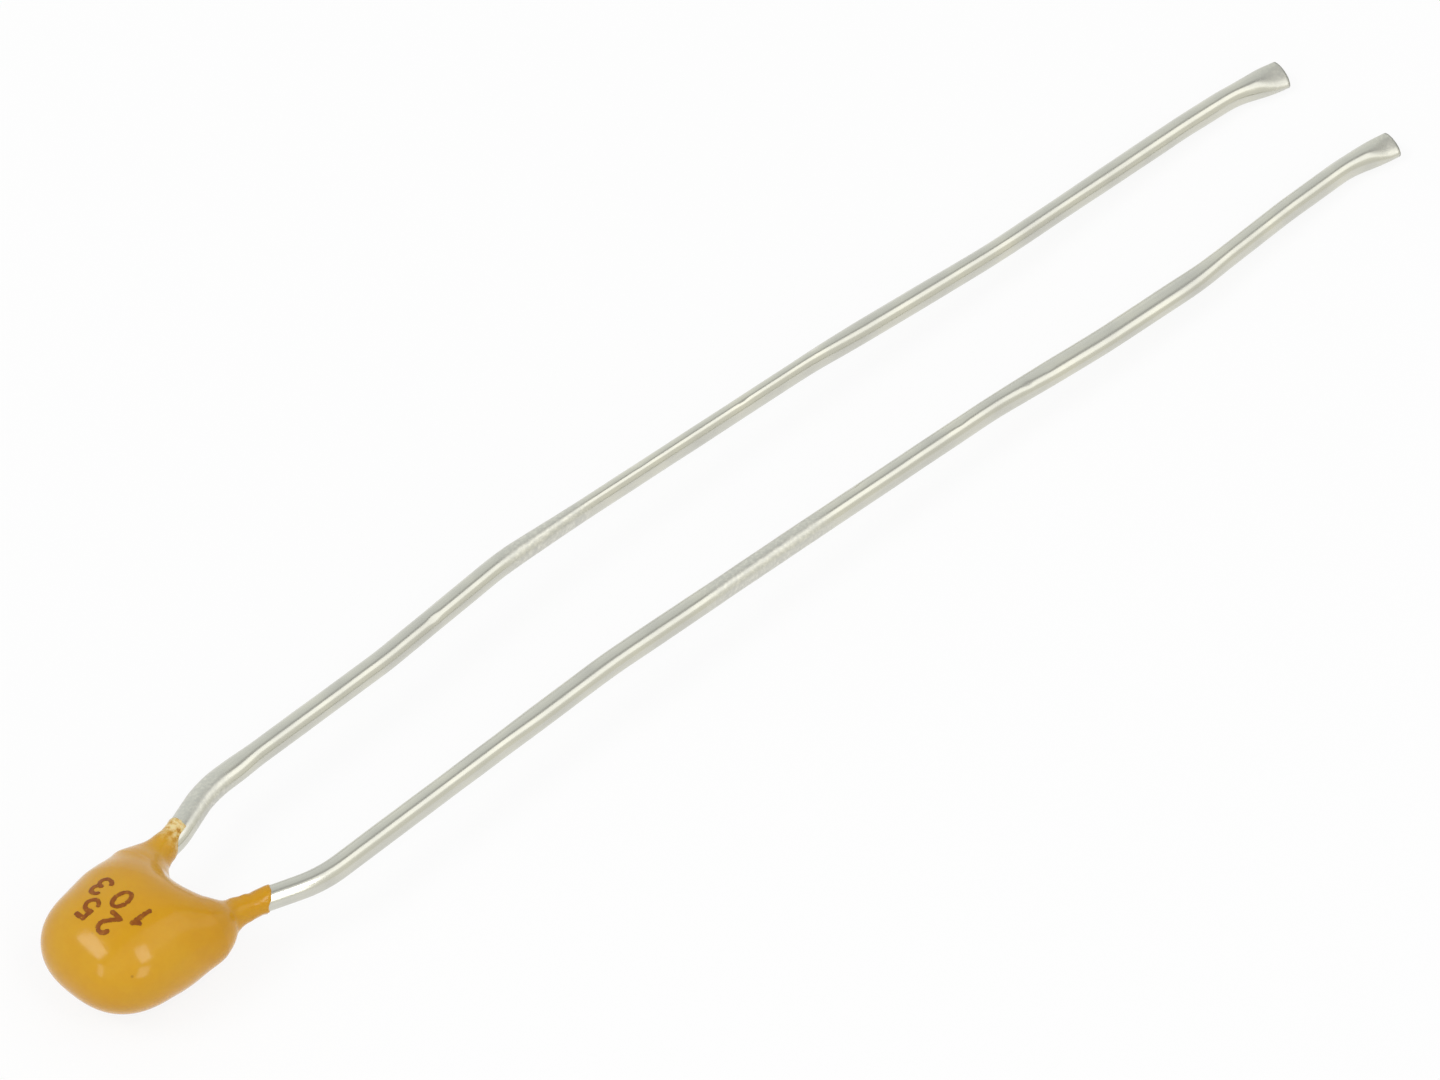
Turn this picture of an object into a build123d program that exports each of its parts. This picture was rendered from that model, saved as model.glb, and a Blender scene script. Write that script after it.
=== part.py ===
"""A radial-leaded, dipped multilayer ceramic capacitor, lying on its broad side.

Millimetres. +X runs from the coated body along the leads, +Y is the left lead's side and +Z is up. The
origin is midway between the two lead axes where they straighten after their flare, which is the plane that
meets a circuit board.
"""

import math
import os

from build123d import *

# Chip: the sintered block inside, with its metal end caps, long side across the leads
CHIP_LENGTH = 1.6
CHIP_WIDTH = 0.8
CHIP_THICKNESS = 0.8
CHIP_EDGE_BREAK = 0.04
CAP_WALL = 0.04
CAP_BAND = 0.32
CHIP_TO_SEATING = 3.72

# Plates: two interleaved groups, each reaching one end cap
PLATE_COUNT = 8
PLATE_THICKNESS = 0.02
PLATE_END_MARGIN = 0.2
PLATE_SIDE_MARGIN = 0.12
COVER_THICKNESS = 0.16

# Leads: tinned round wire
WIRE_DIAMETER = 0.47
LEAD_PITCH = 3.15
FLARE_LENGTH = 1.42
FLARE_END = -0.38
FLARE_BEND_RADIUS = 0.9
LEAD_OVERHANG = 0.04

# The gentle bends that handling left in each lead: (distance, sideways shift, bend radius)
LEFT_BENDS = [(4.3, 0.0, 9), (7.7, 0.2, 9), (16.0, -0.13, 20), (20.8, -0.47, 20)]
LEFT_BENDS += [(26.4, -0.54, 12), (27.8, -0.6, 2.2)]
LEFT_TIP = (29.0, -0.92)
RIGHT_BENDS = [(7.2, 0.0, 20), (12.3, -0.19, 20), (17.5, -0.35, 20), (20.5, -0.57, 16)]
RIGHT_BENDS += [(23.3, -0.66, 10), (26.0, -0.53, 10), (27.9, -0.5, 2.2)]
RIGHT_TIP = (29.1, -0.76)
SAG_START = 7.2
SAG_POWER = 1.35

# Cut tips, pinched flat by the cutter
PINCH_LENGTH = 0.85
TIP_WIDTH = 0.64
TIP_THICKNESS = 0.2
TIP_CUT_RADIUS = 0.7

# Solder between each cap and its lead
SOLDER_GAP = 0.02
SOLDER_LENGTH = 0.7
SOLDER_HEIGHT = 0.62
SOLDER_WRAP = 0.005
SOLDER_BULGE = 0.2

# Dipped coat: a squarish pillow with a shoulder and a neck at each lead and a saddle between
COAT_LENGTH = 3.15
COAT_WIDTH = 3.14
COAT_THICKNESS = 2.2
COAT_TO_SEATING = 3.85
PLAN_EXPONENT = 2.8
SIDE_EXPONENT = 2.1
BASE_POINTS = 5
SECTION_LEVELS = [0.0, 0.3, 0.55, 0.75, 0.9, 0.975]
NECK_FILM = 0.05
NECK_START = -2.6
LEFT_NECK_END = -1.4
RIGHT_NECK_END = -1.36
SHOULDER_OFFSET = 1.49
SHOULDER_SHARE = 0.55
SHOULDER_END = -2.12
ROOT_FILM = 0.07
ROOT_NOSE = 0.2
SADDLE_DEPTH = 0.58
SADDLE_FLAT = 0.3
FLANK_RISE = 0.35
FLANK_SPREAD = 0.62

# A chamfer that lies one wall outside another is wider by this share of the wall
CHAMFER_OFFSET_SHARE = 2 - math.sqrt(2)

WIRE_RADIUS = WIRE_DIAMETER / 2
INNER_OFFSET = CHIP_LENGTH / 2 + SOLDER_GAP + WIRE_RADIUS
OUTER_OFFSET = LEAD_PITCH / 2
FLARE_START = FLARE_END - FLARE_LENGTH
LEAD_DROP = COAT_THICKNESS / 2 - WIRE_RADIUS


def centred_box(x_size, y_size, z_size, x=0.0, y=0.0, z=0.0):
    """A box centred on a point."""
    return Pos(x, y, z) * Box(x_size, y_size, z_size)


def ceramic_block():
    """The whole sintered block, before its plates are taken out."""
    block = centred_box(
        CHIP_WIDTH - 2 * CAP_WALL,
        CHIP_LENGTH - 2 * CAP_WALL,
        CHIP_THICKNESS - 2 * CAP_WALL,
        x=-CHIP_TO_SEATING,
    )
    return chamfer(block.edges(), CHIP_EDGE_BREAK)


def plates(side):
    """The thin plates of one group. side is +1 for the left end and -1 for the right."""
    ceramic_end = CHIP_LENGTH / 2 - CAP_WALL
    ceramic_thickness = CHIP_THICKNESS - 2 * CAP_WALL
    plate_length = 2 * ceramic_end - PLATE_END_MARGIN
    plate_width = CHIP_WIDTH - 2 * CAP_WALL - 2 * PLATE_SIDE_MARGIN
    stack = ceramic_thickness - 2 * COVER_THICKNESS - PLATE_THICKNESS
    step = stack / (PLATE_COUNT - 1)
    first = 0 if side > 0 else 1
    group = []
    for level in range(first, PLATE_COUNT, 2):
        group.append(
            centred_box(
                plate_width,
                plate_length,
                PLATE_THICKNESS,
                x=-CHIP_TO_SEATING,
                y=side * (ceramic_end - plate_length / 2),
                z=-stack / 2 + level * step,
            )
        )
    return group


def termination(side, block):
    """The five-sided metal cap on one end of the block."""
    outer = centred_box(CHIP_WIDTH, CHIP_LENGTH, CHIP_THICKNESS, x=-CHIP_TO_SEATING)
    outer = chamfer(outer.edges(), CHIP_EDGE_BREAK + CAP_WALL * CHAMFER_OFFSET_SHARE)
    end_zone = centred_box(
        2 * CHIP_WIDTH,
        CAP_BAND,
        2 * CHIP_THICKNESS,
        x=-CHIP_TO_SEATING,
        y=side * (CHIP_LENGTH / 2 - CAP_BAND / 2),
    )
    return (outer & end_zone) - block


def sag(x, last_bend):
    """How far a lead's axis lies below its straight stretch: at its last bend the wire is level with the
    coat's base."""
    if x <= SAG_START:
        return 0.0
    return LEAD_DROP * ((x - SAG_START) / (last_bend - SAG_START)) ** SAG_POWER


def lead_points(side, bends, tip):
    """The corners of one lead's route, from beside the chip to its last bend, and the tip's end."""
    inner_end = -CHIP_TO_SEATING - CHIP_WIDTH / 2 - LEAD_OVERHANG
    corners = [
        Vector(inner_end, side * INNER_OFFSET, 0),
        Vector(FLARE_START, side * INNER_OFFSET, 0),
        Vector(FLARE_END, side * OUTER_OFFSET, 0),
    ]
    last_bend = bends[-1][0]
    for x, shift, _ in bends:
        corners.append(Vector(x, side * OUTER_OFFSET + shift, -sag(x, last_bend)))
    end = Vector(tip[0], side * OUTER_OFFSET + tip[1], corners[-1].Z)
    return corners, end


def lead(side, bends, tip):
    """One wire: straight runs joined by tangent arcs, then a tip pinched flat and cut slightly round."""
    corners, end = lead_points(side, bends, tip)
    last_run = (end - corners[-1]).normalized()
    pinch_start = end - last_run * PINCH_LENGTH
    radii = [FLARE_BEND_RADIUS, FLARE_BEND_RADIUS] + [radius for _, _, radius in bends]
    route = FilletPolyline(*corners, pinch_start, radius=radii)
    start_plane = Plane(origin=route @ 0, z_dir=route % 0)
    wire = sweep(start_plane * Circle(WIRE_RADIUS), path=route)

    round_plane = Plane(origin=pinch_start, x_dir=last_run.cross(Vector(0, 0, 1)), z_dir=last_run)
    flat_plane = Plane(origin=end, x_dir=round_plane.x_dir, z_dir=last_run)
    flat = flat_plane * Ellipse(TIP_WIDTH / 2, TIP_THICKNESS / 2)
    pinched = loft([round_plane * Circle(WIRE_RADIUS), flat])
    cut = Pos(*(end - last_run * TIP_CUT_RADIUS)) * Cylinder(TIP_CUT_RADIUS, COAT_THICKNESS)
    return wire + (pinched & cut)


def solder(side, wire):
    """The solder that fills the corner between a cap's end face and the wire beside it."""
    cap_face = side * CHIP_LENGTH / 2
    wire_axis = side * INNER_OFFSET
    half = SOLDER_HEIGHT / 2
    waist = WIRE_RADIUS + SOLDER_WRAP
    middle = (cap_face + wire_axis) / 2
    middle_height = waist + (half - waist) * SOLDER_BULGE
    outline = [
        Line((cap_face, -half), (cap_face, half)),
        ThreePointArc((cap_face, half), (middle, middle_height), (wire_axis, waist)),
        Line((wire_axis, waist), (wire_axis, -waist)),
        ThreePointArc((wire_axis, -waist), (middle, -middle_height), (cap_face, -half)),
    ]
    profile = Plane.YZ * make_face(Wire(outline))
    fill = Pos(-CHIP_TO_SEATING, 0, 0) * extrude(profile, SOLDER_LENGTH / 2, both=True)
    return fill - wire


def signed_power(value, power):
    """value to a power, with its sign kept."""
    return math.copysign(abs(value) ** power, value)


def plan_outline():
    """Points round the left half of the coat's plan at mid thickness, about the coat's middle. They run from
    the middle of its base up the side, over the shoulder that gathers round the lead and into the saddle."""
    outline = []
    for index in range(BASE_POINTS):
        angle = math.pi * (1 - index / (BASE_POINTS - 1) / 2)
        x = COAT_LENGTH / 2 * signed_power(math.cos(angle), 2 / PLAN_EXPONENT)
        y = COAT_WIDTH / 2 * signed_power(math.sin(angle), 2 / PLAN_EXPONENT)
        outline.append(Vector(x, y))

    end = COAT_TO_SEATING + SHOULDER_END
    film = WIRE_RADIUS + ROOT_FILM
    saddle = COAT_LENGTH / 2 - SADDLE_DEPTH
    outline.append(Vector(end * SHOULDER_SHARE, SHOULDER_OFFSET))
    outline.append(Vector(end, INNER_OFFSET + film))
    outline.append(Vector(end + ROOT_NOSE, INNER_OFFSET))
    outline.append(Vector(end, INNER_OFFSET - film))
    outline.append(Vector(saddle + (end - saddle) * FLANK_RISE, (INNER_OFFSET - film) * FLANK_SPREAD))
    outline.append(Vector(saddle, SADDLE_FLAT / 2))
    outline.append(Vector(saddle, 0))
    return outline


def blob():
    """The coat's main form: its plan swells to full thickness in the middle and rounds over at the rim."""
    half_thickness = COAT_THICKNESS / 2
    outline = plan_outline()
    levels = [-level for level in reversed(SECTION_LEVELS[1:])] + SECTION_LEVELS
    sections = []
    for level in levels:
        spread = (1 - abs(level) ** SIDE_EXPONENT) ** (1 / SIDE_EXPONENT)
        middle = Vector(-COAT_TO_SEATING, 0, level * half_thickness)
        rim = Spline(*[middle + point * spread for point in outline])
        sections.append(make_face(Wire([rim, Line(rim @ 1, rim @ 0)])))
    bottom = Vertex(-COAT_TO_SEATING, 0, -half_thickness)
    top = Vertex(-COAT_TO_SEATING, 0, half_thickness)
    left_half = loft([bottom] + sections + [top])
    return left_half + mirror(left_half, about=Plane.XZ)


def neck(side, end_x):
    """The thin sleeve of coat that follows one lead out of its shoulder, round its bend and up its flare."""
    corner = Vector(FLARE_START, side * INNER_OFFSET, 0)
    flare = Vector(FLARE_LENGTH, side * (OUTER_OFFSET - INNER_OFFSET), 0)
    start = Vector(NECK_START, corner.Y, 0)
    end = corner + flare * ((end_x - FLARE_START) / FLARE_LENGTH)
    route = FilletPolyline(start, corner, end, radius=FLARE_BEND_RADIUS)
    return sweep(Plane(origin=route @ 0, z_dir=route % 0) * Circle(WIRE_RADIUS + NECK_FILM), path=route)


def coat(core):
    """The dipped coat, without what it holds: its main form and a neck up each lead."""
    body = blob() - core
    for side, end_x in ((1, LEFT_NECK_END), (-1, RIGHT_NECK_END)):
        body += neck(side, end_x) - core
    return body


def main():
    block = ceramic_block()
    left_plates = plates(1)
    right_plates = plates(-1)
    caps = {1: termination(1, block), -1: termination(-1, block)}
    wires = {1: lead(1, LEFT_BENDS, LEFT_TIP), -1: lead(-1, RIGHT_BENDS, RIGHT_TIP)}
    joints = {side: solder(side, wires[side]) for side in (1, -1)}
    chip = block
    for plate in left_plates + right_plates:
        chip -= plate
    core = block + [caps[1], caps[-1], joints[1], joints[-1], wires[1], wires[-1]]

    nodes = {
        "coating": coat(core),
        "ceramic_chip": chip,
        "electrodes_left": Compound(left_plates),
        "electrodes_right": Compound(right_plates),
        "termination_left": caps[1],
        "termination_right": caps[-1],
        "solder_left": joints[1],
        "solder_right": joints[-1],
        "lead_left": wires[1],
        "lead_right": wires[-1],
    }
    os.makedirs("parts", exist_ok=True)
    for name, shape in nodes.items():
        export_step(shape, f"parts/{name}.step")
        print(name, len(shape.solids()), round(shape.volume, 4))


main()
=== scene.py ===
import math

import bpy
import numpy as np
from mathutils import Matrix, Vector
from mathutils.bvhtree import BVHTree


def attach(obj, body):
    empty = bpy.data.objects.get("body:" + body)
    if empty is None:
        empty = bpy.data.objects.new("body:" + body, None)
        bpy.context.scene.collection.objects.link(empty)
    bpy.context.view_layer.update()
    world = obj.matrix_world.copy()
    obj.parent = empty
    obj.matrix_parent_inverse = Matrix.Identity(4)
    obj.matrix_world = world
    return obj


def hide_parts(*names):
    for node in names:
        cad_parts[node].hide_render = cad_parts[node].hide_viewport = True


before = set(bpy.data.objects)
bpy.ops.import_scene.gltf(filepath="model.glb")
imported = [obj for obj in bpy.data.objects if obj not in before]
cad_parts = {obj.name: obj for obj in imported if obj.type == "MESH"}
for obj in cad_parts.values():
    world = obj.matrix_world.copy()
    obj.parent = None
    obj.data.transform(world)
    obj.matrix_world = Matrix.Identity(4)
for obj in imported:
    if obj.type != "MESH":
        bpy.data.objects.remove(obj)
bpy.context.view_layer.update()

# Shapes are worked out in millimetres, in the part's frame, and become metres where a mesh is made
MM = 0.001
FLOOR_Z = -1.1

# Farther than any distance that matters to a shape
FAR = 9.0

# The wire, and where each lead leaves the chip, flares and straightens
WIRE_RADIUS = 0.235
INNER_Y = 1.055
OUTER_Y = 1.575
INNER_END = -4.155
FLARE_START = -1.8
FLARE_END = -0.38
FLARE_RADII = [2.2, 2.6]

CUBE_CORNERS = [(i, j, k) for i in (0, 1) for j in (0, 1) for k in (0, 1)]


# Shared helpers


def new_object(name, verts, faces, material):
    """A smooth mesh object in metres from points in millimetres. It rides on the only body."""
    mesh = bpy.data.meshes.new(name)
    points = [tuple(v) for v in np.asarray(verts) * MM]
    mesh.from_pydata(points, [], [tuple(int(i) for i in face) for face in faces])
    mesh.validate()
    mesh.update()
    mesh.polygons.foreach_set("use_smooth", [True] * len(mesh.polygons))
    obj = bpy.data.objects.new(name, mesh)
    bpy.context.scene.collection.objects.link(obj)
    mesh.materials.append(material)
    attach(obj, "root")
    return obj


def value_noise(points, cell, seed):
    """Smooth noise between -1 and 1 at points, from a seeded lattice of random values that repeats."""
    count = 16
    lattice = np.random.default_rng(seed).uniform(-1, 1, (count, count, count))
    scaled = points / cell
    low = np.floor(scaled).astype(int)
    part = scaled - low
    part = part * part * (3 - 2 * part)
    total = np.zeros(len(points))
    for i, j, k in CUBE_CORNERS:
        weight = np.abs(1 - i - part[:, 0]) * np.abs(1 - j - part[:, 1]) * np.abs(1 - k - part[:, 2])
        total += weight * lattice[tuple(((low + (i, j, k)) % count).T)]
    return total


def step_between(x, low, high):
    """A smooth step from 0 at one value to 1 at another."""
    t = np.clip((x - low) / (high - low), 0, 1)
    return t * t * (3 - 2 * t)


def stretch(x, low, high, fade):
    """1 between two values, with a smooth fall to 0 inside each end."""
    return step_between(x, low, low + fade) * (1 - step_between(x, high - fade, high))


class Tree:
    """Short calls for building the nodes of a material or of the world."""

    def __init__(self, owner):
        owner.use_nodes = True
        self.owner = owner
        self.nodes = owner.node_tree.nodes
        self.links = owner.node_tree.links
        self.shader = self.nodes.get("Principled BSDF")

    def add(self, kind, values=None, **settings):
        node = self.nodes.new(kind)
        for key, value in settings.items():
            setattr(node, key, value)
        for key, value in (values or {}).items():
            if hasattr(value, "is_linked"):
                self.links.new(value, node.inputs[key])
            else:
                node.inputs[key].default_value = value
        return node

    def link(self, output, name):
        self.links.new(output, self.shader.inputs[name])

    def uniform(self, values):
        """Values that are the same all over, set on the shader's own sockets."""
        for name, value in values.items():
            self.shader.inputs[name].default_value = value

    def math(self, operation, *values):
        return self.add("ShaderNodeMath", dict(enumerate(values)), operation=operation).outputs[0]

    def noise(self, vector, scale, detail=3.0, roughness=0.5):
        values = {"Vector": vector, "Scale": scale, "Detail": detail, "Roughness": roughness}
        return self.add("ShaderNodeTexNoise", values).outputs["Fac"]

    def ramp(self, factor, stops):
        node = self.add("ShaderNodeValToRGB", {"Fac": factor})
        elements = node.color_ramp.elements
        while len(elements) < len(stops):
            elements.new(0.5)
        for element, (position, colour) in zip(elements, stops):
            element.position = position
            element.color = (*colour, 1.0)
        return node.outputs["Color"]

    def remap(self, factor, low, high, to_low, to_high):
        values = {"Value": factor, "From Min": low, "From Max": high, "To Min": to_low, "To Max": to_high}
        return self.add("ShaderNodeMapRange", values).outputs["Result"]

    def mix(self, factor, first, second):
        """One colour mixed into another. A Mix node has its colours at inputs 6 and 7 and at output 2."""
        first, second = ((*c, 1.0) if isinstance(c, tuple) else c for c in (first, second))
        return self.add("ShaderNodeMix", {0: factor, 6: first, 7: second}, data_type="RGBA").outputs[2]

    def mix_shader(self, factor, first, second):
        return self.add("ShaderNodeMixShader", {0: factor, 1: first, 2: second}).outputs[0]

    def bump(self, height, strength, distance):
        values = {"Height": height, "Strength": strength, "Distance": distance}
        self.link(self.add("ShaderNodeBump", values).outputs["Normal"], "Normal")

    def place(self, unit=MM):
        """Object coordinates in a unit of this many metres."""
        source = self.add("ShaderNodeTexCoord").outputs["Object"]
        return self.add("ShaderNodeMapping", {"Vector": source, "Scale": (1 / unit,) * 3}).outputs["Vector"]


def srgb(red, green, blue):
    """Linear colour from eight-bit sRGB values."""
    return tuple(((c / 255 + 0.055) / 1.055) ** 2.4 for c in (red, green, blue))


# Materials


def coat_material():
    """Glossy dipped epoxy: ochre with soft drifts of colour, a few specks and a faint orange peel.

    The film that climbs the left lead is thin, so it is paler there, with darker tatters.
    """
    t = Tree(bpy.data.materials.new("dipped_epoxy"))
    place = t.place()
    drift = t.noise(place, 0.5, 3, 0.5)
    colour = t.ramp(drift, [(0.3, srgb(196, 140, 14)), (0.5, srgb(203, 148, 18)), (0.7, srgb(205, 154, 30))])
    mottle = t.noise(place, 6.0, 4, 0.6)
    colour = t.mix(t.remap(mottle, 0.4, 0.75, 0.0, 0.16), colour, srgb(186, 126, 14))
    cell = t.add("ShaderNodeTexVoronoi", {"Vector": place, "Scale": 1.5, "Randomness": 1.0})
    speck = t.remap(cell.outputs["Distance"], 0.02, 0.06, 0.6, 0.0)
    colour = t.mix(speck, colour, srgb(138, 88, 16))
    split = t.add("ShaderNodeSeparateXYZ", {"Vector": place}).outputs
    climb = t.remap(split["X"], -2.0, -1.6, 0.0, 1.0)
    left = t.remap(split["Y"], 0.2, 0.4, 0.0, 1.0)
    tatter = t.noise(place, 9.0, 3, 0.55)
    film_stops = [(0.36, srgb(176, 122, 30)), (0.46, srgb(206, 166, 82)), (0.62, srgb(226, 206, 150))]
    colour = t.mix(t.math("MULTIPLY", climb, left), colour, t.ramp(tatter, film_stops))
    t.link(colour, "Base Color")
    t.link(t.remap(t.noise(place, 3.0, 3), 0.3, 0.7, 0.13, 0.19), "Roughness")
    t.uniform({"IOR": 1.34, "Coat Weight": 0.12, "Coat Roughness": 0.06, "Subsurface Weight": 0.08})
    t.uniform({"Subsurface Radius": (1.0, 0.45, 0.1), "Subsurface Scale": 0.15 * MM})
    t.bump(t.noise(place, 4.0, 3, 0.5), 0.15, 0.02 * MM)
    return t.owner


def wire_material():
    """Tinned steel: pale, with fine draw marks along it, and matte where a clamp or cutter pressed it."""
    t = Tree(bpy.data.materials.new("tinned_wire"))
    along = t.add("ShaderNodeUVMap", uv_map="along").outputs["UV"]
    stretched = t.add("ShaderNodeMapping", {"Vector": along, "Scale": (0.3, 14.0, 1.0)}).outputs["Vector"]
    draw = t.noise(stretched, 1.2, 4, 0.55)
    place = t.place()
    blotch = t.noise(place, 0.9, 4, 0.55)
    worn = t.add("ShaderNodeAttribute", attribute_name="worn").outputs["Fac"]
    bright_stops = [(0.3, srgb(200, 199, 190)), (0.5, srgb(208, 207, 196)), (0.7, srgb(216, 214, 200))]
    colour = t.mix(t.remap(draw, 0.4, 0.7, 0.0, 0.3), t.ramp(blotch, bright_stops), srgb(190, 190, 186))
    grain = t.noise(place, 14.0, 3, 0.6)
    worn_stops = [(0.35, srgb(200, 200, 192)), (0.52, srgb(208, 207, 197)), (0.7, srgb(222, 221, 210))]
    colour = t.mix(worn, colour, t.ramp(grain, worn_stops))
    t.link(colour, "Base Color")
    t.uniform({"Metallic": 1.0})
    bright = t.remap(blotch, 0.3, 0.7, 0.26, 0.17)
    dull = t.remap(worn, 0.0, 1.0, 0.0, 0.16)
    t.link(t.math("ADD", bright, dull), "Roughness")
    t.bump(t.math("MULTIPLY_ADD", draw, 0.5, t.math("MULTIPLY", grain, worn)), 0.22, 0.008 * MM)
    return t.owner


def plain_material(name, low, high, scale, roughness, metallic, bump):
    """A fine-grained surface between two colours, for the pieces inside the coat."""
    t = Tree(bpy.data.materials.new(name))
    grain = t.noise(t.place(), scale, 5, 0.6)
    t.link(t.ramp(grain, [(0.35, low), (0.65, high)]), "Base Color")
    t.link(t.remap(grain, 0.3, 0.7, roughness - 0.08, roughness + 0.08), "Roughness")
    t.uniform({"Metallic": metallic})
    t.bump(grain, bump, 0.01 * MM)
    return t.owner


def ink_material():
    """Marking ink, brown where it lies thick and thinner in patches."""
    t = Tree(bpy.data.materials.new("marking_ink"))
    patch = t.noise(t.place(), 9.0, 4, 0.6)
    stops = [(0.35, srgb(126, 64, 2)), (0.55, srgb(142, 78, 4)), (0.75, srgb(162, 102, 8))]
    t.link(t.ramp(patch, stops), "Base Color")
    t.uniform({"Roughness": 0.36, "IOR": 1.34})
    t.bump(patch, 0.2, 0.01 * MM)
    return t.owner


# Leads: a route for each, then a tube along it with its marks

# Past the flare, each bend's place along x, its shift in y from the straight line, and its radius
LEFT_BENDS = [(4.3, 0.0, 9), (7.7, 0.2, 9), (16.0, -0.13, 20), (20.8, -0.47, 20), (26.4, -0.54, 12)]
LEFT_BENDS += [(27.8, -0.6, 3.5)]
LEFT_TIP = (29.05, -0.92)
RIGHT_BENDS = [(7.2, 0.0, 20), (12.3, -0.19, 20), (17.5, -0.35, 20), (20.5, -0.57, 16), (23.3, -0.66, 10)]
RIGHT_BENDS += [(26.0, -0.53, 10), (27.9, -0.5, 3.5)]
RIGHT_TIP = (29.08, -0.74)

# The leads droop to the floor from here to their last bend, slowly at first
DROOP_START = 7.2
DROOP_POWER = 1.35

# Squeezed by a clamp: from, to, fade, share of the wire's width and of its height
LEFT_SQUEEZES = [(-2.1, 1.0, 0.7, 1.14, 0.94), (7.6, 17.5, 2.2, 0.78, 1.02), (18.5, 24.5, 2.0, 0.94, 1.0)]
RIGHT_SQUEEZES = [(4.2, 10.5, 1.2, 1.07, 0.95), (17.5, 24.3, 1.8, 1.17, 0.88)]

# Nicks: place along x, angle round the wire, size and depth
LEFT_NICKS = [(16.1, 60, 0.12, 0.014), (14.0, 100, 0.1, 0.01)]
LEFT_NICKS += [(11.3, 70, 0.14, 0.014), (5.6, 120, 0.12, 0.014)]
RIGHT_NICKS = [(19.0, 80, 0.12, 0.014), (18.4, 110, 0.1, 0.012)]
RIGHT_NICKS += [(13.9, 60, 0.13, 0.014), (16.6, 90, 0.1, 0.01)]

# Dull stretches: from and to
LEFT_WORN = [(-1.6, 0.4), (7.3, 10.2)]
RIGHT_WORN = [(9.4, 13.2)]
WORN_FADE = 0.7

# The tips are pinched flat over this length, spread and rolled over a longer one, and cut slightly round
PINCH = 0.85
TIP_HALF_HEIGHT = 0.1
LEFT_TIP_HALF_WIDTH = 0.33
RIGHT_TIP_HALF_WIDTH = 0.3
TIP_ROLL = 16
TIP_BOW_RADIUS = 1.0
TIP_BOW_LENGTH = 0.4

# The mesh of a lead: points round it, and the distance between its rings
RING = 40
STEP = 0.07
ARC_STEPS = 12
ANGLES = 2 * np.pi * np.arange(RING) / RING


def wire_route(corners, radii, step):
    """Points a set distance apart along straight runs joined by tangent arcs."""
    points = [np.array(corners[0], float)]
    for before, at, after, radius in zip(corners, corners[1:], corners[2:], radii):
        before, at, after = (np.array(c, float) for c in (before, at, after))
        into = (at - before) / np.linalg.norm(at - before)
        out = (after - at) / np.linalg.norm(after - at)
        turn = math.acos(max(-1.0, min(1.0, into @ out)))
        if turn < 1e-5:
            continue
        reach = radius * math.tan(turn / 2)
        side = out - into * (into @ out)
        side /= np.linalg.norm(side)
        start = at - into * reach
        for i in range(ARC_STEPS + 1):
            a = turn * i / ARC_STEPS
            points.append(start + into * radius * math.sin(a) + side * radius * (1 - math.cos(a)))
    points.append(np.array(corners[-1], float))
    points = np.array(points)
    length = np.r_[0, np.cumsum(np.linalg.norm(np.diff(points, axis=0), axis=1))]
    at = np.linspace(0, length[-1], int(length[-1] / step) + 1)
    return np.stack([np.interp(at, length, points[:, i]) for i in range(3)], 1), at


def droop(x, last_bend):
    share = max(0.0, x - DROOP_START) / (last_bend - DROOP_START)
    return (FLOOR_Z + WIRE_RADIUS) * share**DROOP_POWER


def lead_route(side, bends, tip):
    """The lead's line from the chip to its tip, as points and as the distance along them."""
    last_bend = bends[-1][0]
    corners = [(INNER_END, side * INNER_Y, 0), (FLARE_START, side * INNER_Y, 0)]
    corners.append((FLARE_END, side * OUTER_Y, 0))
    corners += [(x, side * OUTER_Y + shift, droop(x, last_bend)) for x, shift, _ in bends]
    corners.append((tip[0], side * OUTER_Y + tip[1], corners[-1][2]))
    return wire_route(corners, FLARE_RADII + [radius for _, _, radius in bends], STEP)


def lead_directions(path, along):
    """Unit vectors along the lead, across it and up from it. Its tip is rolled to one side."""
    tangent = np.gradient(path, axis=0)
    tangent /= np.linalg.norm(tangent, axis=1, keepdims=True)
    across = np.cross((0, 0, 1), tangent)
    across /= np.linalg.norm(across, axis=1, keepdims=True)
    up = np.cross(tangent, across)
    roll = (math.radians(TIP_ROLL) * step_between(along, along[-1] - 2.2 * PINCH, along[-1] - 0.5))[:, None]
    across, up = across * np.cos(roll) + up * np.sin(roll), up * np.cos(roll) - across * np.sin(roll)
    return tangent, across, up


def lead_sections(path, along, pinch, squeezes, tip_half_width):
    """How far each point of each ring lies across and up from the line. The pinched tip is squarish."""
    half_width = np.full(len(path), WIRE_RADIUS)
    half_height = np.full(len(path), WIRE_RADIUS)
    for low, high, fade, width_share, height_share in squeezes:
        amount = stretch(path[:, 0], low, high, fade)
        half_width *= 1 + (width_share - 1) * amount
        half_height *= 1 + (height_share - 1) * amount
    spread = step_between(along, along[-1] - 1.6 * PINCH, along[-1] - 0.25)
    half_width = half_width + (tip_half_width - half_width) * spread
    half_height = half_height + (TIP_HALF_HEIGHT - half_height) * pinch
    power = (1 - 0.3 * pinch)[:, None]
    c, s = np.cos(ANGLES)[None], np.sin(ANGLES)[None]
    wide = np.sign(c) * np.abs(c) ** power * half_width[:, None]
    high = np.sign(s) * np.abs(s) ** power * half_height[:, None]
    return wide, high


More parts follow.
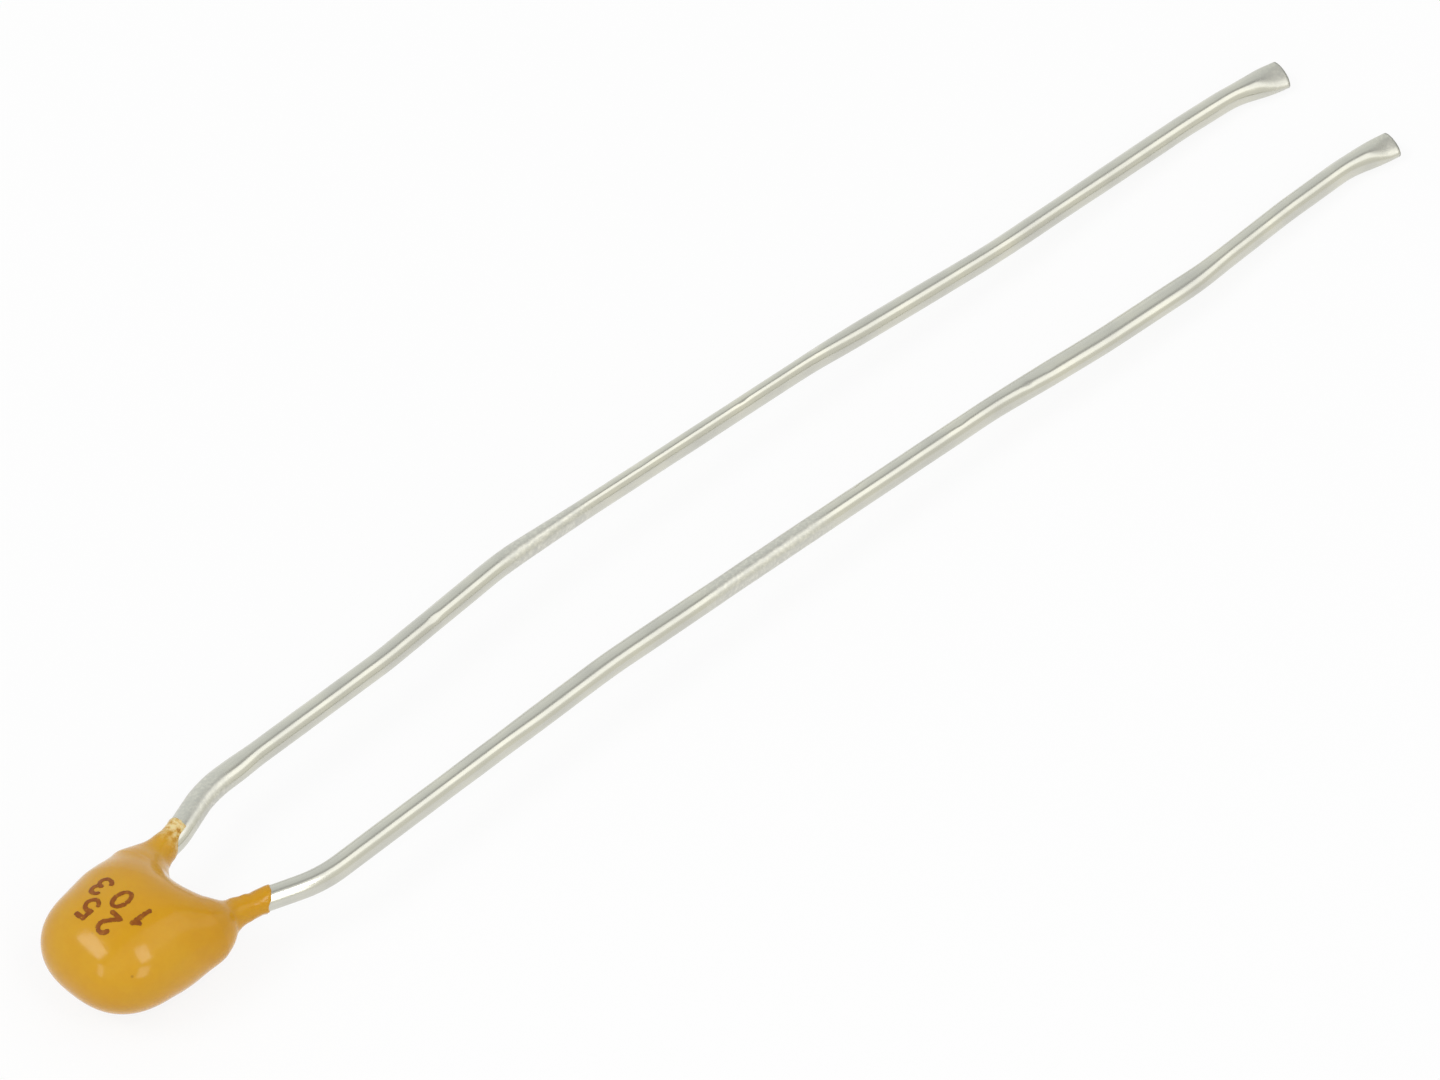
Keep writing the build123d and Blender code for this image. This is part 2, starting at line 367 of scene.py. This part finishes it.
def lead_relief(ring, path, pressed, nicks):
    """How far the surface stands out: slow waves, a fine grain where it is pressed, and nicks."""
    flat = ring.reshape(-1, 3)
    fine = value_noise(flat + 90, 0.16, 22).reshape(len(path), RING)
    depth = 0.003 * value_noise(flat + 70, 0.9, 21).reshape(len(path), RING) - 0.003
    depth = depth + 0.002 * pressed[:, None] * fine
    for nick_x, nick_angle, size, deep in nicks:
        away = ((path[:, 0] - nick_x) / size)[:, None] ** 2
        round_to = (ANGLES - math.radians(nick_angle) + np.pi) % (2 * np.pi) - np.pi
        depth = depth - deep * np.exp(-(away + (np.abs(round_to) * WIRE_RADIUS / (0.6 * size))[None] ** 2))
    return depth


def tube_faces(count):
    """Quads between rings, and one face at each end."""
    faces = []
    for i in range(count - 1):
        for j in range(RING):
            k = (j + 1) % RING
            faces.append((i * RING + j, i * RING + k, (i + 1) * RING + k, (i + 1) * RING + j))
    faces.append(tuple(range(RING))[::-1])
    faces.append(tuple((count - 1) * RING + j for j in range(RING)))
    return faces


def add_lead_layers(mesh, along, pressed):
    """A mark of the dull stretches, and a map of the distance along and round the lead for its material."""
    mark = mesh.attributes.new("worn", "FLOAT", "POINT")
    mark.data.foreach_set("value", np.repeat(pressed, RING).astype(np.float32))
    layer = mesh.uv_layers.new(name="along")
    for polygon in mesh.polygons:
        columns = [mesh.loops[i].vertex_index % RING for i in polygon.loop_indices]
        wrapped = max(columns) - min(columns) > RING / 2
        for i, column in zip(polygon.loop_indices, columns):
            row = mesh.loops[i].vertex_index // RING
            layer.data[i].uv = (along[row], (column + (RING if wrapped and column == 0 else 0)) / RING)


def build_lead(name, route, squeezes, nicks, worn, tip_half_width, material):
    """One wire: the stretches that a clamp flattened or dulled, its nicks and its pinched, cut tip."""
    path, along = route
    tangent, across, up = lead_directions(path, along)
    pinch = step_between(along, along[-1] - PINCH, along[-1] - 0.1)
    wide, high = lead_sections(path, along, pinch, squeezes, tip_half_width)
    ring = path[:, None] + wide[..., None] * across[:, None] + high[..., None] * up[:, None]
    outward = wide[..., None] * across[:, None] + high[..., None] * up[:, None]
    outward /= np.linalg.norm(outward, axis=2, keepdims=True)
    pressed = np.zeros(len(path))
    for start, end in worn:
        pressed = np.maximum(pressed, stretch(path[:, 0], start, end, WORN_FADE))
    pressed = np.maximum(pressed, 0.7 * pinch)
    ring = ring + outward * lead_relief(ring, path, pressed, nicks)[..., None]
    near_end = step_between(along, along[-1] - TIP_BOW_LENGTH, along[-1])[:, None]
    bow = near_end * wide**2 / (2 * TIP_BOW_RADIUS)
    ring = ring - bow[..., None] * tangent[:, None]
    ring[..., 2] = np.maximum(ring[..., 2], FLOOR_Z)

    obj = new_object(name, ring.reshape(-1, 3), tube_faces(len(path)), material)
    add_lead_layers(obj.data, along, pressed)
    obj.data.polygons[-1].use_smooth = False
    obj.data.polygons[-2].use_smooth = False
    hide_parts(name.replace("wire", "lead"))
    return obj


# Coat: a smooth union of the pillow over the chip, a lobe over each lead and a film up each flare

# The pillow: its middle, how far it reaches each way, the powers that shape its plan and rim, and its skew
COAT_X = -3.85
PILLOW_FRONT = 1.27
PILLOW_BACK = 1.575
PILLOW_LEFT = 1.41
PILLOW_RIGHT = 1.51
PILLOW_TOP = 1.088
PILLOW_BOTTOM = 1.1
PLAN_POWER = 2.5
RIM_POWER = 2.1
SKEW = 0.03
SKEW_LENGTH = 1.5

# Each lobe: start, middle and end of its axis as x and distance from the middle plane, and the radius there
LEFT_LOBE = [(-3.34, 0.64, 0.7), (-2.72, 0.96, 0.55), (-2.0, 1.05, 0.25)]
RIGHT_LOBE = [(-3.22, 0.58, 0.71), (-2.74, 0.94, 0.57), (-2.08, 0.97, 0.26)]
LOBE_BLEND = 0.6

# The film on each lead: to one side and tattered on the left, a whole sleeve with a slanted end on the right
LEFT_FILM = {"start_x": -2.35, "end_x": -1.4, "radius": 0.21, "offset": (0, 0.045, 0.078)}
LEFT_FILM |= {"slant": 0.0, "ragged": 0.12}
LEFT_FILM_BLEND = 0.27
RIGHT_FILM = {"start_x": -2.2, "end_x": -1.42, "radius": 0.25, "offset": (0, 0, 0)}
RIGHT_FILM |= {"slant": 0.45, "ragged": 0.03}
RIGHT_FILM_BLEND = 0.12

# How uneven the coat is all over, and the lumpy collar on the right lead: its height, middle, reach and fade
COAT_DRIFT = 0.006
COLLAR_LUMPS = 0.03
COLLAR_X = -1.62
COLLAR_Y = -1.12
COLLAR_REACH = 0.2
COLLAR_FADE = 0.45

# The coat's mesh: the space that is searched, the size of a cell, and limits that keep it in the part's box
COAT_LOW = (-5.6, -1.8, -1.2)
COAT_HIGH = (-1.05, 1.8, 1.2)
COAT_CELL = 0.036
COAT_TOP = 1.09
COAT_END = -5.424


def smooth_min(a, b, reach):
    """The smaller of two distances, rounded where they are alike."""
    blend = np.clip(0.5 + 0.5 * (b - a) / reach, 0, 1)
    return b * (1 - blend) + a * blend - reach * blend * (1 - blend)


def taper(p, start, end, start_radius, end_radius):
    """Distance to a round bar that changes radius along its length."""
    start, end = np.array(start), np.array(end)
    run = end - start
    t = np.clip(((p - start) @ run) / (run @ run), 0, 1)
    radius = start_radius + t * (end_radius - start_radius)
    return np.linalg.norm(p - (start + t[:, None] * run), axis=1) - radius


def pillow(p):
    """Distance to a squarish plan with a round rim, shorter towards the leads and a little skew."""
    x = p[:, 0] - COAT_X
    length = np.where(x > 0, PILLOW_FRONT, PILLOW_BACK)
    width = np.where(p[:, 1] > 0, PILLOW_LEFT, PILLOW_RIGHT)
    width = width * (1 - SKEW * np.clip(x / SKEW_LENGTH, -1, 1) * np.sign(p[:, 1]))
    plan = (np.abs(x / length) ** PLAN_POWER + np.abs(p[:, 1] / width) ** PLAN_POWER) ** (1 / PLAN_POWER)
    half = np.where(p[:, 2] > 0, PILLOW_TOP, PILLOW_BOTTOM)
    gauge = (plan**RIM_POWER + np.abs(p[:, 2] / half) ** RIM_POWER) ** (1 / RIM_POWER)
    reach = np.sqrt(x**2 + p[:, 1] ** 2 + p[:, 2] ** 2)
    return reach * (1 - 1 / np.maximum(gauge, 1e-6))


def film(p, route, start_x, end_x, radius, offset, slant, ragged):
    """The film that climbs one lead: a sleeve that may sit to one side of the wire, torn at its end."""
    near = route[(route[:, 0] > start_x) & (route[:, 0] < end_x + 0.3)][::3]
    shift = np.array(offset)
    axis = near[-1] - near[-2]
    axis = axis / np.linalg.norm(axis)
    tip = np.array([np.interp(end_x, route[:, 0], route[:, i]) for i in range(3)])
    sleeve = np.full(len(p), FAR)
    for a, b in zip(near, near[1:]):
        sleeve = np.minimum(sleeve, taper(p, a + shift, b + shift, radius, radius))
    slant_direction = np.array((0, 0.835, 0.549))
    across = (p - tip) @ slant_direction
    end = (p - tip) @ axis - slant * across + ragged * value_noise(p + 40, 0.13, 5)
    return np.maximum(sleeve, end)


def coat_field(p):
    """Distance to the coat's surface, below zero inside it."""
    d = pillow(p)
    for side, lobe in ((1, LEFT_LOBE), (-1, RIGHT_LOBE)):
        points = [(x, side * y, 0) for x, y, _ in lobe]
        inner = taper(p, points[0], points[1], lobe[0][2], lobe[1][2])
        outer = taper(p, points[1], points[2], lobe[1][2], lobe[2][2])
        d = smooth_min(d, smooth_min(inner, outer, 0.1), LOBE_BLEND)
    d = smooth_min(d, film(p, left_route[0], **LEFT_FILM), LEFT_FILM_BLEND)
    d = smooth_min(d, film(p, right_route[0], **RIGHT_FILM), RIGHT_FILM_BLEND)
    from_collar = np.sqrt((p[:, 0] - COLLAR_X) ** 2 + (p[:, 1] - COLLAR_Y) ** 2)
    collar = 1 - step_between(from_collar, COLLAR_REACH, COLLAR_FADE)
    d = d - COLLAR_LUMPS * collar * (0.3 + value_noise(p + 20, 0.17, 3))
    return d - COAT_DRIFT * value_noise(p + 60, 0.9, 9)


def cell_points(values, low, step):
    """One point in each cell that the surface crosses, and each cell's number in a grid, or -1."""
    inside = values < 0

    def corner(array, offset):
        return array[tuple(slice(o, n - 1 + o) for o, n in zip(offset, array.shape))]

    filled = sum(corner(inside, o).astype(int) for o in CUBE_CORNERS)
    active = (filled > 0) & (filled < 8)
    index = np.full(active.shape, -1)
    index[active] = np.arange(active.sum())
    base = np.argwhere(active).astype(float)
    at = {o: corner(values, o)[active] for o in CUBE_CORNERS}
    total, hits = np.zeros_like(base), np.zeros(len(base))
    for a in CUBE_CORNERS:
        for axis in range(3):
            if a[axis]:
                continue
            b = tuple(1 if i == axis else a[i] for i in range(3))
            crossed = (at[a] < 0) != (at[b] < 0)
            t = at[a] / np.where(crossed, at[a] - at[b], 1)
            point = np.array(a, float) + t[:, None] * (np.array(b, float) - np.array(a, float))
            total[crossed] += point[crossed]
            hits[crossed] += 1
    return np.array(low) + step * (base + total / hits[:, None]), index


def cell_quads(values, index):
    """A quad round each grid edge that the surface crosses, facing out."""
    inside = values < 0
    faces = []
    for axis in range(3):
        u, w = [i for i in range(3) if i != axis]
        first = inside[tuple(slice(0, -1) if i == axis else slice(None) for i in range(3))]
        second = inside[tuple(slice(1, None) if i == axis else slice(None) for i in range(3))]
        crossed = np.argwhere(first != second)
        outward = first[tuple(crossed.T)]
        ring = []
        for du, dw in ((-1, -1), (0, -1), (0, 0), (-1, 0)):
            cell = crossed.copy()
            cell[:, u] += du
            cell[:, w] += dw
            ring.append(index[tuple(cell.T)])
        quads = np.stack(ring, 1)
        keep = outward if axis != 1 else ~outward
        quads[~keep] = quads[~keep][:, ::-1]
        faces.append(quads)
    return np.concatenate(faces)


def surface_of(field, low, high, step):
    """A quad surface where a field is zero: one point in each crossed cell, then moved onto the surface."""
    count = [int(round((b - a) / step)) + 1 for a, b in zip(low, high)]
    axes = [a + step * np.arange(n) for a, n in zip(low, count)]
    grid = np.stack(np.meshgrid(*axes, indexing="ij"), -1).reshape(-1, 3)
    values = field(grid).reshape(count)
    verts, index = cell_points(values, low, step)
    nudge = 1e-3
    for _ in range(3):
        value = field(verts)
        slope = [(field(verts + nudge * d) - field(verts - nudge * d)) / (2 * nudge) for d in np.eye(3)]
        slope = np.stack(slope, 1)
        move = -(value / np.maximum((slope**2).sum(1), 0.05))[:, None] * slope
        size = np.linalg.norm(move, axis=1, keepdims=True)
        verts = verts + move * np.minimum(1, 0.5 * step / np.maximum(size, 1e-9))
    return verts, cell_quads(values, index)


def build_coat():
    verts, faces = surface_of(coat_field, COAT_LOW, COAT_HIGH, COAT_CELL)
    verts[:, 2] = np.clip(verts[:, 2], FLOOR_Z, COAT_TOP)
    verts[:, 0] = np.maximum(verts[:, 0], COAT_END)
    coat = new_object("coat", verts, faces, coat_material())
    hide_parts("coating")
    return coat


# Print: plain digits, laid on the coat as a thin film of ink

# Each digit, the x and y of its middle, and its lean
PRINT = [("1", -3.95, -0.53, 0.05), ("0", -3.93, 0.01, 0.05), ("3", -3.94, 0.57, 0.08)]
PRINT += [("2", -4.46, -0.18, 0.05), ("5", -4.45, 0.36, 0.05)]
DIGIT_HEIGHT = 0.42
DIGIT_WIDTH = 0.25
STROKE_HALF_WIDTH = 0.05
INK_CELL = 0.011
INK_LIFT = 0.003
INK_THICKNESS = 0.004
ABOVE_COAT = 5


def arc(cx, cy, rx, ry, start, end, count=14):
    angles = np.radians(np.linspace(start, end, count))
    return [(cx + rx * math.cos(a), cy + ry * math.sin(a)) for a in angles]


def digit_strokes(digit):
    """Strokes of one digit in a box one wide and one high."""
    if digit == "0":
        return [arc(0.5, 0.5, 0.5, 0.5, 0, 360, 28)]
    if digit == "1":
        return [[(0.2, 0.74), (0.55, 1.0), (0.55, 0.0)]]
    if digit == "2":
        return [arc(0.5, 0.72, 0.46, 0.28, 165, -30) + [(0.05, 0.0), (0.98, 0.0)]]
    if digit == "3":
        return [arc(0.45, 0.75, 0.42, 0.25, 150, -90) + arc(0.45, 0.25, 0.5, 0.25, 90, -150)]
    return [[(0.9, 1.0), (0.15, 1.0), (0.1, 0.55)] + arc(0.46, 0.31, 0.5, 0.31, 120, -150)]


def stroke_distance(p, digit):
    """Distance in the plane to the strokes of one digit."""
    nearest = np.full(len(p), FAR)
    for stroke in digit_strokes(digit):
        corners = np.array([((u - 0.5) * DIGIT_WIDTH, (v - 0.5) * DIGIT_HEIGHT) for u, v in stroke])
        for a, b in zip(corners, corners[1:]):
            run = b - a
            t = np.clip(((p - a) @ run) / max(run @ run, 1e-9), 0, 1)
            nearest = np.minimum(nearest, np.linalg.norm(p - (a + t[:, None] * run), axis=1))
    return nearest


def build_print(coat, material):
    """Each digit is a fine sheet of cells near its strokes, dropped onto the coat."""
    tree = BVHTree.FromObject(coat, bpy.context.evaluated_depsgraph_get())
    reach = DIGIT_HEIGHT / 2 + 0.08
    ticks = np.arange(-reach, reach, INK_CELL)
    n = len(ticks)
    p = np.stack(np.meshgrid(ticks, ticks, indexing="ij"), -1).reshape(-1, 2)
    verts, faces = [], []
    for digit, x, y, lean in PRINT:
        world = np.stack([x - p[:, 1] + lean * p[:, 0], y + p[:, 0] + lean * p[:, 1], np.zeros(len(p))], 1)
        edge = STROKE_HALF_WIDTH + 0.008 * value_noise(world + 50, 0.07, 31)
        edge = edge + 0.005 * value_noise(world + 50, 0.03, 32)
        bare = value_noise(world + 80, 0.045, 33) > 0.85
        inked = ((stroke_distance(p, digit) < edge) & ~bare).reshape(n, n)
        keep = inked[:-1, :-1] & inked[1:, :-1] & inked[1:, 1:] & inked[:-1, 1:]
        number = {}
        for i, j in np.argwhere(keep):
            quad = []
            for key in ((i, j), (i, j + 1), (i + 1, j + 1), (i + 1, j)):
                if key not in number:
                    px, py, _ = world[key[0] * n + key[1]] * MM
                    hit, normal, _, _ = tree.ray_cast(Vector((px, py, ABOVE_COAT * MM)), Vector((0, 0, -1)))
                    number[key] = len(verts)
                    verts.append(np.array(hit + normal * (INK_LIFT * MM)) / MM)
                quad.append(number[key])
            faces.append(quad)
    obj = new_object("print_ink", verts, faces, material)
    solid = obj.modifiers.new("thickness", "SOLIDIFY")
    solid.thickness = INK_THICKNESS * MM
    solid.offset = -1
    return obj


# The object

left_route = lead_route(1, LEFT_BENDS, LEFT_TIP)
right_route = lead_route(-1, RIGHT_BENDS, RIGHT_TIP)
coat = build_coat()
wire = wire_material()
build_lead("wire_left", left_route, LEFT_SQUEEZES, LEFT_NICKS, LEFT_WORN, LEFT_TIP_HALF_WIDTH, wire)
build_lead("wire_right", right_route, RIGHT_SQUEEZES, RIGHT_NICKS, RIGHT_WORN, RIGHT_TIP_HALF_WIDTH, wire)
build_print(coat, ink_material())

# The pieces inside the coat keep the part's own meshes. Each row is the start of their names, a material's
# name, its darker and paler colour, the scale of its grain, its roughness, whether it is metal, and its bump
INNER = [
    ("ceramic_chip", "sintered_ceramic", (198, 184, 160), (222, 210, 188), 14, 0.6, 0.0, 0.3),
    ("electrodes", "fired_nickel", (150, 147, 140), (180, 176, 168), 20, 0.4, 1.0, 0.2),
    ("termination", "tin_plate", (176, 176, 174), (206, 206, 203), 12, 0.38, 1.0, 0.25),
    ("solder", "solder_metal", (166, 166, 162), (198, 198, 194), 8, 0.3, 1.0, 0.2),
]
for start, material_name, dark, pale, *looks in INNER:
    material = plain_material(material_name, srgb(*dark), srgb(*pale), *looks)
    for node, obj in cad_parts.items():
        if node.startswith(start):
            obj.data.materials.clear()
            obj.data.materials.append(material)

# Floor and world, in metres

FLOOR_HALF = 3.0
FLOOR_WHITE = 0.87
WHITE = (1, 1, 1, 1)
SKY_STRENGTH = 0.66

# What shiny surfaces see across the leads, from low on the right, over the top, to low on the left
TENT = [(0.0, (0.88, 0.87, 0.8)), (0.25, (0.92, 0.91, 0.85)), (0.31, (1, 1, 0.98)), (0.455, (1, 1, 0.98))]
TENT += [(0.48, (0.42, 0.42, 0.42)), (0.52, (0.5, 0.5, 0.5))]
TENT += [(0.58, (0.82, 0.84, 0.83)), (1.0, (0.92, 0.94, 0.93))]
TENT_SLOPE = 2.0
LOWEST_RISE = 0.05


def floor_material():
    """Pale paper, white to the camera and in reflections, that still takes the object's shadow."""
    t = Tree(bpy.data.materials.new("pale_floor"))
    t.link(t.ramp(t.noise(t.place(1), 40, 2), [(0.3, (0.84,) * 3), (0.7, (0.88,) * 3)]), "Base Color")
    t.uniform({"Roughness": 0.9, "Specular IOR Level": 0.1})
    light = t.add("ShaderNodeLightPath").outputs
    seen = t.math("MAXIMUM", light["Is Camera Ray"], light["Is Glossy Ray"])
    seen = t.math("MAXIMUM", seen, light["Is Transmission Ray"])
    white = t.add("ShaderNodeEmission", {"Color": WHITE, "Strength": 1.0}).outputs[0]
    mixed = t.mix_shader(t.math("MULTIPLY", seen, FLOOR_WHITE), t.shader.outputs[0], white)
    t.links.new(mixed, t.nodes["Material Output"].inputs["Surface"])
    return t.owner


def build_floor():
    mesh = bpy.data.meshes.new("floor")
    signs = [(-1, -1), (1, -1), (1, 1), (-1, 1)]
    corners = [(x * FLOOR_HALF, y * FLOOR_HALF, FLOOR_Z * MM) for x, y in signs]
    mesh.from_pydata(corners, [], [(0, 1, 2, 3)])
    mesh.materials.append(floor_material())
    floor = bpy.data.objects.new("floor", mesh)
    bpy.context.scene.collection.objects.link(floor)


def build_world():
    """White to the camera, a plain soft sky for the lighting, and for shiny surfaces a white tent.

    The tent is greyer beyond the leads, with a darker seam overhead.
    """
    world = bpy.data.worlds.new("studio")
    bpy.context.scene.world = world
    t = Tree(world)
    t.nodes.clear()
    light = t.add("ShaderNodeLightPath").outputs
    direction = t.add("ShaderNodeTexCoord").outputs["Generated"]
    split = t.add("ShaderNodeSeparateXYZ", {"Vector": direction}).outputs
    slope = t.math("DIVIDE", split["Y"], t.math("MAXIMUM", split["Z"], LOWEST_RISE))
    tent = t.ramp(t.remap(slope, -TENT_SLOPE, TENT_SLOPE, 0.0, 1.0), TENT)
    shiny = t.add("ShaderNodeBackground", {"Color": tent, "Strength": 1.0}).outputs[0]
    sky = t.add("ShaderNodeBackground", {"Color": WHITE, "Strength": SKY_STRENGTH}).outputs[0]
    white = t.add("ShaderNodeBackground", {"Color": WHITE, "Strength": 1.0}).outputs[0]
    lit = t.mix_shader(light["Is Glossy Ray"], sky, shiny)
    seen = t.math("MAXIMUM", light["Is Camera Ray"], light["Is Transmission Ray"])
    t.add("ShaderNodeOutputWorld", {"Surface": t.mix_shader(seen, lit, white)})


build_floor()
build_world()

# Lamps

# Each strip: where the coat sees it begin and end, its width in metres, and its radiance
STRIPS = {
    "left_box": ((-0.44, 0.51, 0.73), (-0.62, 0.08, 0.78), 0.17, 4.6),
    "left_box_low": ((-0.77, 0.02, 0.62), (-0.95, -0.1, 0.3), 0.08, 2.6),
    "right_box": ((0.05, -0.38, 0.9), (0.0, -0.76, 0.66), 0.13, 4.0),
    "right_box_low": ((-0.1, -0.82, 0.56), (-0.28, -0.94, 0.25), 0.14, 2.5),
    "wire_box": ((0.25, -0.4, 0.83), (0.75, -0.3, 0.6), 0.3, 0.5),
}
LAMP_DISTANCE = 0.5
COAT_MIDDLE = Vector((-4, 0, 0)) * MM


def strip(name, start, end, width, radiance):
    """A long softbox that faces the coat, from one direction to another."""
    start, end = Vector(start).normalized(), Vector(end).normalized()
    away = (start + end).normalized()
    data = bpy.data.lights.new(name, "AREA")
    data.shape = "RECTANGLE"
    data.size = width
    data.size_y = 2 * LAMP_DISTANCE * math.tan(start.angle(end) / 2)
    data.energy = radiance * math.pi * data.size * data.size_y
    lamp = bpy.data.objects.new(name, data)
    bpy.context.scene.collection.objects.link(lamp)
    along = (end - start).normalized()
    side = along.cross(away).normalized()
    lamp.rotation_mode = "QUATERNION"
    lamp.rotation_quaternion = Matrix((side, along, away)).transposed().to_quaternion()
    lamp.location = COAT_MIDDLE + away * LAMP_DISTANCE


for name, settings in STRIPS.items():
    strip(name, *settings)

# Camera

AZIMUTH = math.radians(45.7)
ELEVATION = math.radians(46.7)
DISTANCE = 172 * MM
TARGET = Vector((11.03, -0.81, 0)) * MM
FOCAL_LENGTH = 222.6
SENSOR_WIDTH = 36
forward = Vector((math.sin(AZIMUTH), math.cos(AZIMUTH), 0))
look = forward * math.cos(ELEVATION) - Vector((0, 0, math.sin(ELEVATION)))
camera_data = bpy.data.cameras.new("camera")
camera_data.lens = FOCAL_LENGTH
camera_data.sensor_width = SENSOR_WIDTH
camera_data.clip_start = 0.01
camera_data.clip_end = 10
camera = bpy.data.objects.new("camera", camera_data)
bpy.context.scene.collection.objects.link(camera)
camera.location = TARGET - look * DISTANCE
camera.rotation_mode = "QUATERNION"
camera.rotation_quaternion = look.to_track_quat("-Z", "Y")
bpy.context.scene.camera = camera
bpy.context.scene.view_settings.view_transform = "Standard"
